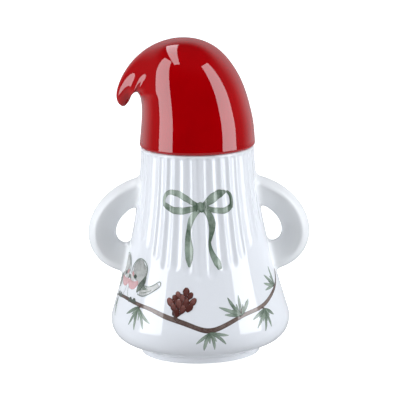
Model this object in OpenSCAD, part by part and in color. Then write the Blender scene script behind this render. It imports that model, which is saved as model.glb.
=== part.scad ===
// Porcelain gnome jar: a fluted, flaring body with two ear-shaped arms and a red hat
// with a curled tip that lifts off as the lid. Millimetres, +Z up. The origin is the
// centre of the resting plane, the front faces -Y and the hat curls towards -X.

/* [Body] */
// Height of the body, from the resting plane to the rim of its mouth
body_h = 78.8; // [65:0.1:95]
// Outside radius of the neck at the rim
neck_r = 21.2; // [17.6:0.1:25.5]
// Outside radius of the skirt at its widest
skirt_r = 33.8; // [28:0.1:41]
// Height of the widest place above the resting plane
hem_z = 12.9; // [11:0.1:15.5]
// Radius of the round at the hem of the skirt
hem_r = 8.8; // [7.3:0.1:10.6]
// Height at which the long sweep from the neck ends and the straight skirt begins
sweep_end_z = 32.5; // [28:0.5:39]
// Wall thickness of the cast body
wall = 3; // [2.5:0.1:3.6]
// Rounding of the mouth's outer edge
rim_round = 0.8; // [0.3:0.1:1.2]

/* [Foot ring] */
// Outside radius of the foot ring
foot_r = 22.4; // [19:0.1:26]
// Height of the foot ring, where the skirt meets it
foot_h = 2.2; // [1.6:0.1:2.8]
// Width of the ring that touches the table
foot_w = 2.2; // [1.8:0.1:3]
// Depth of the recess inside the ring
foot_recess = 1.2; // [0.9:0.1:1.5]
// Rounding of the ring's outer edge
foot_round = 0.4; // [0.2:0.1:0.6]

/* [Flutes] */
// Number of flutes round the body
flute_count = 38; // [30:1:42]
// Radius of the round tool that shapes a flute
flute_r = 2.2; // [1.9:0.1:2.6]
// Depth of a flute at its top end
flute_top_depth = 0.45; // [0.3:0.05:0.55]
// Depth of a flute at its bottom end
flute_end_depth = 0.75; // [0.4:0.05:0.9]
// Plain band between the rim and the top of a flute
flute_top_gap = 2; // [1.5:0.1:5]
// Distance from the bottom of the flutes down to the end of the sweep
flute_end_gap = 3.5; // [1:0.5:10]

/* [Arms] */
// How far an arm stands out from the wall, level with its middle
arm_out = 17.3; // [15:0.1:20]
// Distance from the rim down to the middle of an arm
arm_drop = 29.6; // [25:0.1:34]
// Half length of the arm's outline, along its droop
arm_long = 22.5; // [20:0.1:26]
// Half width of the arm's outline, across its droop
arm_short = 17.8; // [15.5:0.1:20]
// Droop of the arm's outline, degrees below level
arm_droop = 26; // [15:1:35]
// Distance of the finger gap's middle from the outline's middle, outwards
gap_shift = 3.4; // [2.5:0.1:4.5]
// Half length of the finger gap, along its droop
gap_long = 8.85; // [7.5:0.05:10.5]
// Half width of the finger gap, across its droop
gap_short = 5.85; // [5:0.05:7]
// Droop of the finger gap, degrees below level
gap_droop = 41; // [30:1:50]
// Thickness of an arm at its crest, front to back
arm_t = 8.4; // [7:0.1:10]
// Thickness of an arm at the edge of the finger gap
arm_gap_t = 3.6; // [3:0.1:4.4]
// Share of the arm's width from the outer edge to the crest
crest_at = 0.28; // [0.2:0.01:0.4]

/* [Hat] */
// Height of the hat above the rim of the body
hat_h = 41.2; // [36:0.1:50]
// How far the hat's brim stands out past the neck
brim_over = 0.5; // [0.2:0.1:1.2]
// Wall thickness of the hat
hat_wall = 3; // [2.5:0.1:3.6]
// Rounding of the brim's lower edge
brim_round = 1.3; // [0.8:0.1:1.6]
// Depth of the locating ring that enters the mouth
ring_depth = 5; // [3.5:0.1:7]
// Wall thickness of the locating ring
ring_wall = 2.2; // [1.8:0.1:2.6]
// Gap between the locating ring and the mouth, all round
ring_gap = 0.4; // [0.3:0.05:0.8]

/* [Hidden] */
white_glaze = "#f3f5f8";
red_glaze = "#b4121c";
$fn = 96;

over = 1;                       // how far a cutter passes the face that it cuts
mouth_r = neck_r - wall;        // the bore that the locating ring enters
mouth_h = ring_depth + 2;       // straight length of that bore
ring_r = mouth_r - ring_gap;
floor_z = foot_recess + wall;
mouth_chamfer = 0.5;
hat_r = neck_r + brim_over;
flute_end_z = sweep_end_z + flute_end_gap;
arm_z = body_h - arm_drop;

// ---- Small geometry helpers -------------------------------------------------

// A point at a distance and an angle from a centre
function polar(c, r, a) = [c.x + r * cos(a), c.y + r * sin(a)];

// An arc from angle a to angle b in n steps
function arc(c, r, a, b, n) = [for (i = [0:n]) polar(c, r, a + (b - a) * i / n)];

// A point on a Catmull-Rom spline through the rows of p, with u from 0 to len(p) - 1
function row(p, i) = p[max(0, min(len(p) - 1, i))];
function spline(p, u) =
    let (i = min(floor(u), len(p) - 2), t = u - i,
         a = row(p, i - 1), b = row(p, i), c = row(p, i + 1), d = row(p, i + 2))
    (2 * b + (c - a) * t + (2 * a - 5 * b + 4 * c - d) * t ^ 2
     + (3 * b - 3 * c + d - a) * t ^ 3) / 2;

// Faces that join m rings of n points: ends closed, or the last ring joined to the first
function ring_faces(m, n, closed) = concat(
    [for (i = [0:m - (closed ? 1 : 2)]) for (j = [0:n - 1])
        let (k = (i + 1) % m, l = (j + 1) % n) each [
            [i * n + j, k * n + j, k * n + l],
            [i * n + j, k * n + l, i * n + l]]],
    closed ? [] : [[for (j = [0:n - 1]) j], [for (j = [n - 1:-1:0]) (m - 1) * n + j]]);

// ---- Body -------------------------------------------------------------------

// The wall is one long sweep, then a straight cone, then the round of the hem, and the
// underside runs from the hem to the foot ring. Each meets the next at a tangent.
// The lean of the cone follows from the sweep's two ends and the hem: with t as the
// tangent of half the lean, it is the small root of this cubic, found by Newton's method
flare_z = body_h + 6.2;                       // height at which the sweep stands upright
waist_r = neck_r - 0.1;                       // radius that it would have there
sweep_h = flare_z - sweep_end_z;
hem_c = [skirt_r - hem_r, hem_z];
hem_drop = flare_z - hem_z;
function lean_cubic(t) = sweep_h * t ^ 3 + (waist_r - hem_c.x + hem_r) * t ^ 2
    - (2 * hem_drop - sweep_h) * t + skirt_r - waist_r;
function lean_slope(t) = 3 * sweep_h * t ^ 2 + 2 * (waist_r - hem_c.x + hem_r) * t
    - (2 * hem_drop - sweep_h);
function lean_root(t, n) = n == 0 ? t : lean_root(t - lean_cubic(t) / lean_slope(t), n - 1);
skirt_lean = 2 * atan(lean_root(0, 6));
flare_r = sweep_h / sin(skirt_lean);
flare_c = [waist_r + flare_r, flare_z];

// Where the underside's line from the foot ring touches the round of the hem
to_foot = [foot_r, foot_h] - hem_c;
under_a = atan2(to_foot.y, to_foot.x) + acos(hem_r / norm(to_foot));

// Angle round the sweep's centre at which it reaches a height, in a wall moved in by o
function flare_a(z, o) = 180 - asin((z - flare_z) / (flare_r + o));

function underside(o, z) =
    let (p = polar(hem_c, hem_r - o, under_a)) [p.x - (p.y - z) / tan(under_a + 90), z];

function wall_r(z) = polar(flare_c, flare_r, flare_a(z, 0)).x;

// From the underside to a height near the rim, in a wall moved in by o
function wall_line(o, top_z) = concat(
    arc(hem_c, hem_r - o, under_a, skirt_lean, 12),
    arc(flare_c, flare_r + o, 180 + skirt_lean, flare_a(top_z, o), 10));

function reverse(p) = [for (i = [len(p) - 1:-1:0]) p[i]];

rim_r = wall_r(body_h - rim_round);
body_outline = concat(
    [[0, foot_recess], [foot_r - foot_w, foot_recess], [foot_r - foot_w, 0]],
    arc([foot_r - foot_round, foot_round], foot_round, -90, 0, 4),
    [[foot_r, foot_h]],
    wall_line(0, body_h - rim_round));

rim_outline = arc([rim_r - rim_round, body_h - rim_round], rim_round, 0, 90, 5);

cavity_outline = concat(
    [[0, body_h + over], [mouth_r, body_h + over], [mouth_r, body_h - mouth_h]],
    reverse(wall_line(wall, body_h - mouth_h - over)),
    [underside(wall, floor_z), [0, floor_z]]);

// One flute: a round tool that follows the sweep, sinking a little deeper as it goes down
module flute() {
    top_a = flare_a(body_h - flute_top_gap, 0);
    sweep = flare_a(flute_end_z, 0) - top_a;
    path_r = flare_r - flute_r + flute_top_depth;
    sink = (flute_end_depth - flute_top_depth) / (flare_r * sin(sweep));
    start = polar([0, 0], path_r, top_a);
    translate([flare_c.x + start.x, 0, flare_c.y + start.y])
        rotate([0, -asin(sink), 0])
            translate([-start.x, 0, -start.y])
                rotate([90, 0, 0])
                    rotate([0, 0, top_a])
                        rotate_extrude(angle = sweep)
                            translate([path_r, 0])
                                circle(flute_r, $fn = 32);
}

module flutes(numbers) {
    for (i = numbers)
        rotate([0, 0, 360 * i / flute_count - 90])
            flute();
}

module body_solid() {
    rotate_extrude()
        polygon(concat(body_outline, rim_outline, [[0, body_h]]));
}

module body() {
    color(white_glaze)
        difference() {
            body_solid();
            rotate_extrude()
                polygon(cavity_outline);
            translate([0, 0, body_h - mouth_chamfer])
                cylinder(mouth_chamfer + over, mouth_r,
                         mouth_r + mouth_chamfer + over);
            flutes([0:flute_count - 1]);
        }
}

// ---- Arms -------------------------------------------------------------------

// The outline and the finger gap are ellipses that droop outwards
outline_reach = norm([arm_long * cos(arm_droop), arm_short * sin(arm_droop)]);
arm_x = wall_r(arm_z) + arm_out - outline_reach;
crest_steps = 5;
gap_steps = 6;
arm_stations = 60;

function ellipse_at(c, long, short, droop, a) =
    let (x = long * cos(a + droop), y = short * sin(a + droop))
    [c.x + x * cos(droop) + y * sin(droop), c.y - x * sin(droop) + y * cos(droop)];

// Half of the section, as shares of the arm's width and half thicknesses: round outside,
// full at the crest, and then tapering to a round edge at the finger gap
half_section = concat(
    [for (i = [0:crest_steps])
        [crest_at * (1 - cos(90 * i / crest_steps)), arm_t / 2 * sin(90 * i / crest_steps)]],
    [for (i = [1:gap_steps])
        let (s = i / gap_steps, w = crest_at + (0.9 - crest_at) * s)
        [w, arm_t / 2 + (arm_gap_t - arm_t) / 2 * s ^ 1.3]],
    [[0.97, arm_gap_t * 0.32]]);
section = concat(half_section, [[1, 0]],
                 [for (p = reverse(half_section)) if (p.y > 0) [p.x, -p.y]]);

module arm_ring() {
    points = [for (i = [0:arm_stations - 1])
        let (a = 360 * i / arm_stations,
             outer = ellipse_at([arm_x, arm_z], arm_long, arm_short, arm_droop, a),
             inner = ellipse_at([arm_x + gap_shift, arm_z], gap_long, gap_short, gap_droop, a))
        for (s = section)
            let (p = outer + (inner - outer) * s.x) [p.x, s.y, p.y]];
    polyhedron(points, ring_faces(arm_stations, len(section), true), convexity = 6);
}

// The arm is cut back to the fluted face that it is luted to
module arm() {
    reach_a = asin(arm_t / 2 / neck_r);
    side = flute_count / 4;
    near = ceil(reach_a / (360 / flute_count)) + 1;
    difference() {
        arm_ring();
        difference() {
            body_solid();
            flutes([floor(side - near):ceil(side + near)]);
        }
    }
}

module right_arm() {
    color(white_glaze)
        arm();
}

module left_arm() {
    color(white_glaze)
        mirror([1, 0, 0])
            arm();
}

// ---- Hat --------------------------------------------------------------------

// Stations from brim to tip. Each gives the outer line of the hat and the inner line, on
// the side of the curl, as shares of the brim's radius and of the hat's height
hat_stations = [
    [[1.00, 0.03], [-1.00, 0.03]],
    [[0.98, 0.19], [-0.97, 0.17]],
    [[0.93, 0.34], [-0.95, 0.31]],
    [[0.83, 0.53], [-0.955, 0.41]],
    [[0.67, 0.71], [-0.975, 0.465]],
    [[0.43, 0.87], [-1.00, 0.495]],
    [[0.12, 0.97], [-1.025, 0.51]],
    [[-0.22, 1.00], [-1.055, 0.51]],
    [[-0.55, 0.975], [-1.09, 0.50]],
    [[-0.87, 0.895], [-1.115, 0.485]],
    [[-1.13, 0.77], [-1.135, 0.46]],
    [[-1.30, 0.63], [-1.16, 0.43]],
    [[-1.38, 0.50], [-1.20, 0.40]],
    [[-1.36, 0.415], [-1.24, 0.38]],
    [[-1.30, 0.383], [-1.28, 0.377]]];
hat_sides = 48;
rings_per_station = 2;
hat_last = len(hat_stations) - 1;
hollow_last = 8;                 // the cast hollow ends where the curl narrows
brim_h = 3;                      // turned part of the hat, under the moulded part
brim_sink = 0.5;                 // how far the moulded part enters the turned part
facet_gap = 0.05;                // keeps the moulded part's corners inside the turned part

function hat_point(p) = [p.x * hat_r, p.y * hat_h];

// A ring of points between the outer and the inner line, drawn in by o all round
function hat_ring(u, o) =
    let (a = hat_point(spline([for (s = hat_stations) s[0]], u)),
         b = hat_point(spline([for (s = hat_stations) s[1]], u)),
         c = (a + b) / 2, d = (a - b) / 2, r = norm(d) - o, n = d / norm(d))
    [for (j = [0:hat_sides - 1])
        let (t = 360 * j / hat_sides)
        [c.x + n.x * r * cos(t), r * sin(t), c.y + n.y * r * cos(t)]];

function level_ring(r, z) =
    [for (j = [0:hat_sides - 1])
        let (t = 360 * j / hat_sides) [r * cos(t), r * sin(t), z]];

module hat_loft(o, last) {
    first = 0.6;
    rings = concat(
        [level_ring(hat_r - facet_gap - o, brim_h - brim_sink)],
        [for (i = [0:last * rings_per_station])
            let (u = i / rings_per_station) if (u >= first) hat_ring(u, o + facet_gap)]);
    polyhedron([for (r = rings) each r], ring_faces(len(rings), hat_sides, false),
               convexity = 6);
}

module hat_base() {
    rotate_extrude()
        polygon(concat(
            [[hat_r, brim_h]],
            arc([hat_r - brim_round, brim_round], brim_round, 0, -90, 6),
            [[ring_r, 0], [ring_r, -ring_depth + 0.5], [ring_r - 0.5, -ring_depth],
             [ring_r - ring_wall, -ring_depth], [ring_r - ring_wall, 0],
             [hat_r - hat_wall - 0.3, brim_h]]));
}

module hat() {
    color(red_glaze)
        translate([0, 0, body_h]) {
            difference() {
                hat_loft(0, hat_last);
                translate([0, 0, -over / 100])
                    hat_loft(hat_wall, hollow_last);
            }
            hat_base();
        }
}

body();
left_arm();
right_arm();
hat();
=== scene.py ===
"""Porcelain gnome jar: fluted white body, two ear-shaped arms, red hat and painted decor.

Everything is in metres, +Z up, with the front facing -Y and the hat curling towards -X.
Points of the painted decor are given as (angle round the body in degrees from the front
towards +X, height in millimetres).
"""
import math
import random

import bmesh
import bpy
import numpy as np
from bpy.props import FloatProperty, FloatVectorProperty, IntProperty, PointerProperty
from mathutils import Matrix, Vector


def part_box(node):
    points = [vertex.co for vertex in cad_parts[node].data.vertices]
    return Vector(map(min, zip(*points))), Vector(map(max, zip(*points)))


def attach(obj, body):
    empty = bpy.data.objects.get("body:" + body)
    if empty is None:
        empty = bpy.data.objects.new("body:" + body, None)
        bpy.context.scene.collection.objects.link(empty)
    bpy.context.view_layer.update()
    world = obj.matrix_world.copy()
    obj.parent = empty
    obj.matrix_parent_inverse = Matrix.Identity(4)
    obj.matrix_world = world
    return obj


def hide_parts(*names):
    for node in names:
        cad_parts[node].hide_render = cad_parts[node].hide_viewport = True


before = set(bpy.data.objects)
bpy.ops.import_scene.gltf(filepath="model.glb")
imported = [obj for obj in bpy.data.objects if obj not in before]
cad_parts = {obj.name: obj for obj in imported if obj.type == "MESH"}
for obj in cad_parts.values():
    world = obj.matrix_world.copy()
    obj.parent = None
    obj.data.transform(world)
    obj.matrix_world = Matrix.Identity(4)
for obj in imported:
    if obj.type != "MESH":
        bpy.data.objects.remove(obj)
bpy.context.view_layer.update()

bl_info = {
    "name": "Porcelain Gnome Jar",
    "version": (1, 0, 0),
    "blender": (4, 5, 0),
    "location": "3D View > Sidebar > Gnome Jar",
    "description": "Builds a glazed porcelain gnome jar with a lift-off hat",
    "category": "Add Mesh",
}

MM = 0.001
BODY_LOW, BODY_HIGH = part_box("body")
HAT_LOW, HAT_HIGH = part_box("hat")


# ---- Settings ---------------------------------------------------------------------------

def length(name, description, millimetres):
    """A length setting, given in millimetres and kept in metres."""
    return FloatProperty(name=name, description=description, default=millimetres * MM,
                         min=0.0, precision=5, unit="LENGTH", subtype="DISTANCE")


def angle(name, description, degrees):
    """An angle setting, given in degrees and kept in radians."""
    return FloatProperty(name=name, description=description, default=math.radians(degrees),
                         unit="ROTATION", subtype="ANGLE")


def share(name, description, value, high=1.0):
    """A setting without a unit."""
    return FloatProperty(name=name, description=description, default=value, min=0.0,
                         max=high, subtype="FACTOR" if high == 1.0 else "NONE")


def colour(name, description, value):
    """A colour setting in linear light."""
    return FloatVectorProperty(name=name, description=description, default=value, size=3,
                               min=0.0, max=1.0, subtype="COLOR")


class GnomeBodySettings(bpy.types.PropertyGroup):
    """Sizes and colours of the fluted body."""
    height: length("Height", "From the resting plane to the rim", BODY_HIGH.z / MM)
    neck_radius: length("Neck radius", "Outside radius at the rim", 21.2)
    skirt_radius: length("Skirt radius", "Outside radius at the widest", BODY_HIGH.x / MM)
    hem_height: length("Hem height", "Height of the widest place", 12.9)
    hem_radius: length("Hem radius", "Radius of the round at the hem", 8.8)
    sweep_end: length("Sweep end", "Height where the straight skirt begins", 32.5)
    wall: length("Wall", "Thickness of the cast wall", 3.0)
    rim_round: length("Rim round", "Rounding of the mouth's edge", 0.8)
    foot_radius: length("Foot radius", "Outside radius of the foot ring", 22.4)
    foot_height: length("Foot height", "Where the skirt meets the foot ring", 2.2)
    foot_width: length("Foot width", "Width of the ring that touches the table", 2.2)
    foot_recess: length("Foot recess", "Depth of the recess inside the ring", 1.2)
    foot_round: length("Foot round", "Rounding of the ring's outer edge", 0.4)
    mouth_depth: length("Mouth depth", "Straight length of the mouth", 7.0)
    flute_count: IntProperty(name="Flutes", description="Number of flutes round the body",
                             default=38, min=8, max=60)
    flute_top_depth: length("Flute depth at the top", "Depth under the rim", 0.50)
    flute_end_depth: length("Flute depth at the end", "Depth at the lower end", 0.66)
    flute_top_gap: length("Plain band", "Band between the rim and the flutes", 0.8)
    flute_end: length("Flute end", "Height of the lower ends at the front", 33.0)
    flute_side_rise: length("Flute rise", "How much higher the flutes end at the arms", 18.0)
    flute_stagger: length("Flute stagger", "How far the lower ends differ in height", 1.5)
    glaze: colour("Glaze", "Colour of the white glaze", (0.885, 0.90, 0.935))
    bare: colour("Bare porcelain", "Colour of the unglazed foot", (0.80, 0.78, 0.74))


class GnomeArmSettings(bpy.types.PropertyGroup):
    """Sizes of the two arms."""
    out: length("Reach", "How far an arm stands out from the wall", 17.3)
    drop: length("Drop", "From the rim down to the middle of an arm", 29.6)
    long: length("Outline length", "Half length of the outline", 22.5)
    short: length("Outline width", "Half width of the outline", 17.8)
    droop: angle("Droop", "Droop of the outline below level", 26.0)
    gap_shift: length("Gap shift", "From the outline's middle out to the gap's", 3.4)
    gap_long: length("Gap length", "Half length of the finger gap", 8.85)
    gap_short: length("Gap width", "Half width of the finger gap", 5.85)
    gap_droop: angle("Gap droop", "Droop of the finger gap below level", 41.0)
    thickness: length("Thickness", "Front to back at the crest", 8.4)
    gap_thickness: length("Edge thickness", "Front to back at the gap's edge", 3.6)
    crest: share("Crest", "Share of the width from the outer edge to the crest", 0.28)
    root: length("Root fillet", "Reach of the slip fillet at each root", 2.2)


class GnomeHatSettings(bpy.types.PropertyGroup):
    """Sizes and colour of the hat."""
    height: length("Height", "Above the rim of the body", (HAT_HIGH.z - BODY_HIGH.z) / MM)
    radius: length("Brim radius", "Outside radius of the brim", HAT_HIGH.x / MM)
    wall: length("Wall", "Thickness of the cast wall", 3.0)
    brim_round: length("Brim round", "Rounding of the brim's lower edge", 1.3)
    ring_depth: length("Ring depth", "Depth of the locating ring",
                       (BODY_HIGH.z - HAT_LOW.z) / MM)
    ring_radius: length("Ring radius", "Outside radius of the locating ring", 17.8)
    ring_wall: length("Ring wall", "Wall of the locating ring", 2.2)
    glaze: colour("Glaze", "Colour of the red glaze", (0.43, 0.0, 0.002))


class GnomeDecorSettings(bpy.types.PropertyGroup):
    """Colours of the painted decor."""
    film: length("Film", "How far the paint stands on the glaze", 0.05)
    sage: colour("Sage", "Light green of the ribbon", (0.42, 0.50, 0.42))
    pine: colour("Pine", "Dark green of needles and folds", (0.10, 0.15, 0.10))
    bark: colour("Bark", "Dark brown of the branch", (0.10, 0.06, 0.05))
    twig: colour("Twig", "Light brown of the branch", (0.32, 0.25, 0.22))
    cone: colour("Cone", "Dark red-brown of the cone", (0.09, 0.025, 0.02))
    scale: colour("Scales", "Light red-brown of the scales", (0.33, 0.15, 0.13))
    rose: colour("Rose", "Pink of the cheeks", (0.80, 0.42, 0.42))
    plume: colour("Plume", "Pale grey of the feathers", (0.72, 0.72, 0.69))
    ink: colour("Ink", "Dark outline of the birds", (0.09, 0.11, 0.09))


class GnomeStageSettings(bpy.types.PropertyGroup):
    """Floor, light and camera."""
    floor: colour("Floor", "Colour of the floor", (0.93, 0.93, 0.93))
    light: colour("Light", "Colour of the daylight lamps", (0.93, 0.96, 1.0))
    side_fill: share("Side fill", "Soft light on the sides that leaves no reflection", 1.5, 50.0)
    top_fill: share("Top fill", "Soft light from above that leaves no reflection", 1.1, 50.0)
    low_fill: share("Low fill", "Soft light from below that leaves no reflection", 0.85, 50.0)
    floor_glow: share("Floor glow", "Light that the backlit floor gives off", 0.72, 4.0)
    back_light: share("Back light", "Brightness behind the object", 0.60, 10.0)
    side_light: share("Side light", "Brightness beside the object", 0.10, 10.0)
    top_light: share("Top light", "Brightness overhead", 0.03, 10.0)
    table_light: share("Table light", "Brightness from below", 0.40, 10.0)
    box_light: share("Softbox light", "Brightness of the softboxes and the overhead strip", 3.8, 50.0)
    box_near: angle("Softbox near edge", "Angle from the camera's side", 51.0)
    box_far: angle("Softbox far edge", "Angle from the camera's side", 84.0)
    box_low: angle("Softbox lower edge", "Height angle of the lower edge", -12.0)
    box_high: angle("Softbox upper edge", "Height angle of the upper edge", 50.0)
    fill_light: share("Fill light", "Brightness of the soft fill above the camera", 0.35, 50.0)
    camera_distance: length("Camera distance", "In front of the object's axis", 1047.3)
    camera_height: length("Camera height", "Above the floor", 276.7)
    camera_pitch: angle("Camera pitch", "Down from level", 11.8)
    camera_yaw: angle("Camera yaw", "To the right", 0.034)
    camera_roll: angle("Camera roll", "Clockwise", 1.0)
    camera_lens: FloatProperty(name="Lens", description="Focal length in millimetres",
                               default=255.35, min=1.0, unit="CAMERA")


# ---- Mesh helpers -----------------------------------------------------------------------

def ring_quads(rings, sides):
    """Quads that join rings of points, each ring closed on itself."""
    i, j = np.meshgrid(np.arange(rings - 1), np.arange(sides), indexing="ij")
    k = (j + 1) % sides
    quads = [i * sides + j, i * sides + k, (i + 1) * sides + k, (i + 1) * sides + j]
    return np.stack(quads, axis=-1).reshape(-1, 4).tolist()


def closed_tube(rings):
    """Vertices and faces of a stack of rings, closed at both ends by a fan."""
    rings = np.asarray(rings)
    count, sides, _ = rings.shape
    first, last = count * sides, count * sides + 1
    points = np.vstack([rings.reshape(-1, 3), rings[0].mean(axis=0), rings[-1].mean(axis=0)])
    faces = ring_quads(count, sides)
    for j in range(sides):
        k = (j + 1) % sides
        faces.append([first, k, j])
        faces.append([last, (count - 1) * sides + j, (count - 1) * sides + k])
    return points, faces


def make_piece(name, points, faces, material, body, replaces=()):
    """A smooth closed mesh that rides on a body and takes the given material."""
    mesh = bpy.data.meshes.new(name)
    mesh.from_pydata(np.asarray(points).tolist(), [], faces)
    tidy = bmesh.new()
    tidy.from_mesh(mesh)
    bmesh.ops.recalc_face_normals(tidy, faces=tidy.faces)
    tidy.to_mesh(mesh)
    tidy.free()
    mesh.shade_smooth()
    mesh.materials.append(material)
    piece = bpy.data.objects.new(name, mesh)
    bpy.context.scene.collection.objects.link(piece)
    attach(piece, body)
    if replaces:
        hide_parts(*replaces)
    return piece


def set_attribute(piece, name, values):
    """A number for each vertex that the material can read."""
    attribute = piece.data.attributes.new(name, "FLOAT", "POINT")
    attribute.data.foreach_set("value", np.asarray(values, np.float32))


class Spline:
    """A natural cubic spline through rows of numbers, one row to a whole step."""

    def __init__(self, rows):
        self.rows = np.asarray(rows, float)
        count = len(self.rows)
        matrix = np.eye(count)
        right = np.zeros_like(self.rows)
        for i in range(1, count - 1):
            matrix[i, i - 1:i + 2] = (1, 4, 1)
            right[i] = 6 * (self.rows[i - 1] - 2 * self.rows[i] + self.rows[i + 1])
        self.bend = np.linalg.solve(matrix, right)

    def __call__(self, u):
        u = np.atleast_1d(np.asarray(u, float))
        i = np.clip(np.floor(u).astype(int), 0, len(self.rows) - 2)
        t = (u - i)[:, None]
        s = 1 - t
        return (self.rows[i] * s + self.rows[i + 1] * t
                + self.bend[i] * (s ** 3 - s) / 6 + self.bend[i + 1] * (t ** 3 - t) / 6)


def arc(centre, radius, start, end, steps):
    """Points on an arc in the half plane of a turned shape."""
    return [(centre[0] + radius * math.cos(a), centre[1] + radius * math.sin(a))
            for a in np.linspace(start, end, steps + 1)]


def corner(before, at, after, reach, steps=6):
    """A rounded corner: a curve that starts and ends a reach away from the corner."""
    before, at, after = (np.asarray(p, float) for p in (before, at, after))
    a = at + (before - at) / np.linalg.norm(before - at) * reach
    b = at + (after - at) / np.linalg.norm(after - at) * reach
    return [tuple((1 - t) ** 2 * a + 2 * t * (1 - t) * at + t * t * b)
            for t in np.linspace(0, 1, steps + 1)]


# ---- Shader helpers ---------------------------------------------------------------------

class Value:
    """A socket in a shader expression. Numbers add Math nodes, colours add Mix nodes and
    vectors add Vector Math nodes."""

    def __init__(self, nodes, socket):
        self.nodes = nodes
        self.socket = socket

    def _join(self, operation, first, second):
        kinds = {v.socket.type for v in (first, second) if isinstance(v, Value)}
        if "RGBA" in kinds:
            return self.nodes.node("ShaderNodeMix", {"data_type": "RGBA",
                                                     "blend_type": operation},
                                   {0: 1.0, 6: first, 7: second}, out=2)
        if "VECTOR" in kinds:
            return self.nodes.node("ShaderNodeVectorMath", {"operation": operation},
                                   {0: first, 1: second})
        return self.nodes.node("ShaderNodeMath", {"operation": operation},
                               {0: first, 1: second})

    def __add__(self, other):
        return self._join("ADD", self, other)

    def __radd__(self, other):
        return self._join("ADD", other, self)

    def __sub__(self, other):
        return self._join("SUBTRACT", self, other)

    def __rsub__(self, other):
        return self._join("SUBTRACT", other, self)

    def __mul__(self, other):
        return self._join("MULTIPLY", self, other)

    def __rmul__(self, other):
        return self._join("MULTIPLY", other, self)

    def __truediv__(self, other):
        return self._join("DIVIDE", self, other)

    def __pow__(self, other):
        return self._join("POWER", self, other)

    def lowest(self, other):
        """The lower of two numbers."""
        return self._join("MINIMUM", self, other)

    def highest(self, other):
        """The higher of two numbers."""
        return self._join("MAXIMUM", self, other)

    def ramp(self, start, end):
        """A smooth step from 0 at start to 1 at end."""
        return self.nodes.node("ShaderNodeMapRange", {"interpolation_type": "SMOOTHSTEP"},
                               {"Value": self, "From Min": start, "From Max": end})


class Nodes:
    """A node tree, and the one method that adds nodes to it."""

    def __init__(self, owner):
        owner.use_nodes = True
        self.tree = owner.node_tree
        self.tree.nodes.clear()

    def node(self, kind, settings=None, inputs=None, out=0):
        """Adds a node: settings first, then the values or links of its sockets."""
        node = self.tree.nodes.new(kind)
        for name, value in (settings or {}).items():
            setattr(node, name, value)
        for key, value in (inputs or {}).items():
            socket = node.inputs[key]
            if isinstance(value, Value):
                self.tree.links.new(value.socket, socket)
            elif socket.type == "RGBA" and not isinstance(value, (int, float)):
                socket.default_value = (*tuple(value)[:3], 1.0)
            elif socket.type == "RGBA":
                socket.default_value = (value, value, value, 1.0)
            else:
                socket.default_value = value
        return Value(self, node.outputs[out]) if len(node.outputs) else None

    def place(self):
        """The place of a shaded point, in metres."""
        return self.node("ShaderNodeTexCoord", out="Object")

    def noise(self, scale, detail=2.0, roughness=0.5):
        """Soft noise from 0 to 1, with scale in waves per metre."""
        return self.node("ShaderNodeTexNoise", None,
                         {"Vector": self.place(), "Scale": scale, "Detail": detail,
                          "Roughness": roughness})

    def mix(self, factor, first, second):
        """A colour between two colours."""
        return self.node("ShaderNodeMix", {"data_type": "RGBA"},
                         {0: factor, 6: first, 7: second}, out=2)

    def attribute(self, name):
        """A number that the mesh holds for each vertex."""
        return self.node("ShaderNodeAttribute", {"attribute_name": name}, out="Fac")

    def bump(self, height, distance, strength=1.0):
        """A bent normal from a height, with distance in metres."""
        return self.node("ShaderNodeBump", None, {"Height": height, "Distance": distance,
                                                  "Strength": strength})


def surface_material(name, inputs):
    """A material whose Principled sockets come from a function that takes its nodes."""
    material = bpy.data.materials.new(name)
    nodes = Nodes(material)
    shader = nodes.node("ShaderNodeBsdfPrincipled", None, inputs(nodes))
    nodes.node("ShaderNodeOutputMaterial", None, {"Surface": shader})
    return material


COAT_IOR = 1.7
COAT_ROUGHNESS = 0.02


def glaze_ripple(nodes, depth):
    """The faint waviness of a fired glaze."""
    wave = nodes.noise(170.0, 1.0)
    peel = nodes.noise(900.0, 1.0)
    return nodes.bump(wave * 0.8 + peel * 0.2, depth)


def white_glaze(settings):
    """Clear glossy glaze over white porcelain, faintly uneven in tone and gloss."""
    def inputs(nodes):
        cloud = nodes.noise(55.0, 2.0)
        speck = nodes.noise(2600.0, 0.0).ramp(0.80, 0.86)
        tint = tuple(c * 0.975 for c in settings.glaze)
        base = nodes.mix(cloud, tint, settings.glaze)
        return {
            "Base Color": nodes.mix(speck * 0.10, base, (0.62, 0.60, 0.56)),
            "Roughness": cloud * 0.05 + 0.10,
            "Specular IOR Level": 0.0,
            "Coat Weight": 1.0,
            "Coat Roughness": COAT_ROUGHNESS,
            "Coat IOR": COAT_IOR,
            "Normal": glaze_ripple(nodes, 0.00010),
        }
    return surface_material("white_glaze", inputs)


def red_glaze(settings):
    """Deep red glaze, faintly uneven in tone and gloss."""
    def inputs(nodes):
        cloud = nodes.noise(60.0, 2.0)
        deep = tuple(c * 0.90 for c in settings.glaze)
        return {
            "Base Color": nodes.mix(cloud.ramp(0.3, 0.7), deep, settings.glaze),
            "Roughness": cloud * 0.05 + 0.14,
            "Specular IOR Level": 0.0,
            "Coat Weight": 1.0,
            "Coat Roughness": COAT_ROUGHNESS,
            "Coat IOR": COAT_IOR,
            "Normal": glaze_ripple(nodes, 0.00016),
        }
    return surface_material("red_glaze", inputs)


def bare_porcelain(settings):
    """Matt unglazed porcelain with a fine tooth."""
    def inputs(nodes):
        grain = nodes.noise(5200.0, 3.0)
        stain = nodes.noise(240.0, 2.0).ramp(0.45, 0.75)
        dusty = tuple(c * 0.88 for c in settings.bare)
        return {
            "Base Color": nodes.mix(stain * 0.6, settings.bare, dusty),
            "Roughness": grain * 0.15 + 0.70,
            "Normal": nodes.bump(grain, 0.00005),
        }
    return surface_material("bare_porcelain", inputs)


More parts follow.
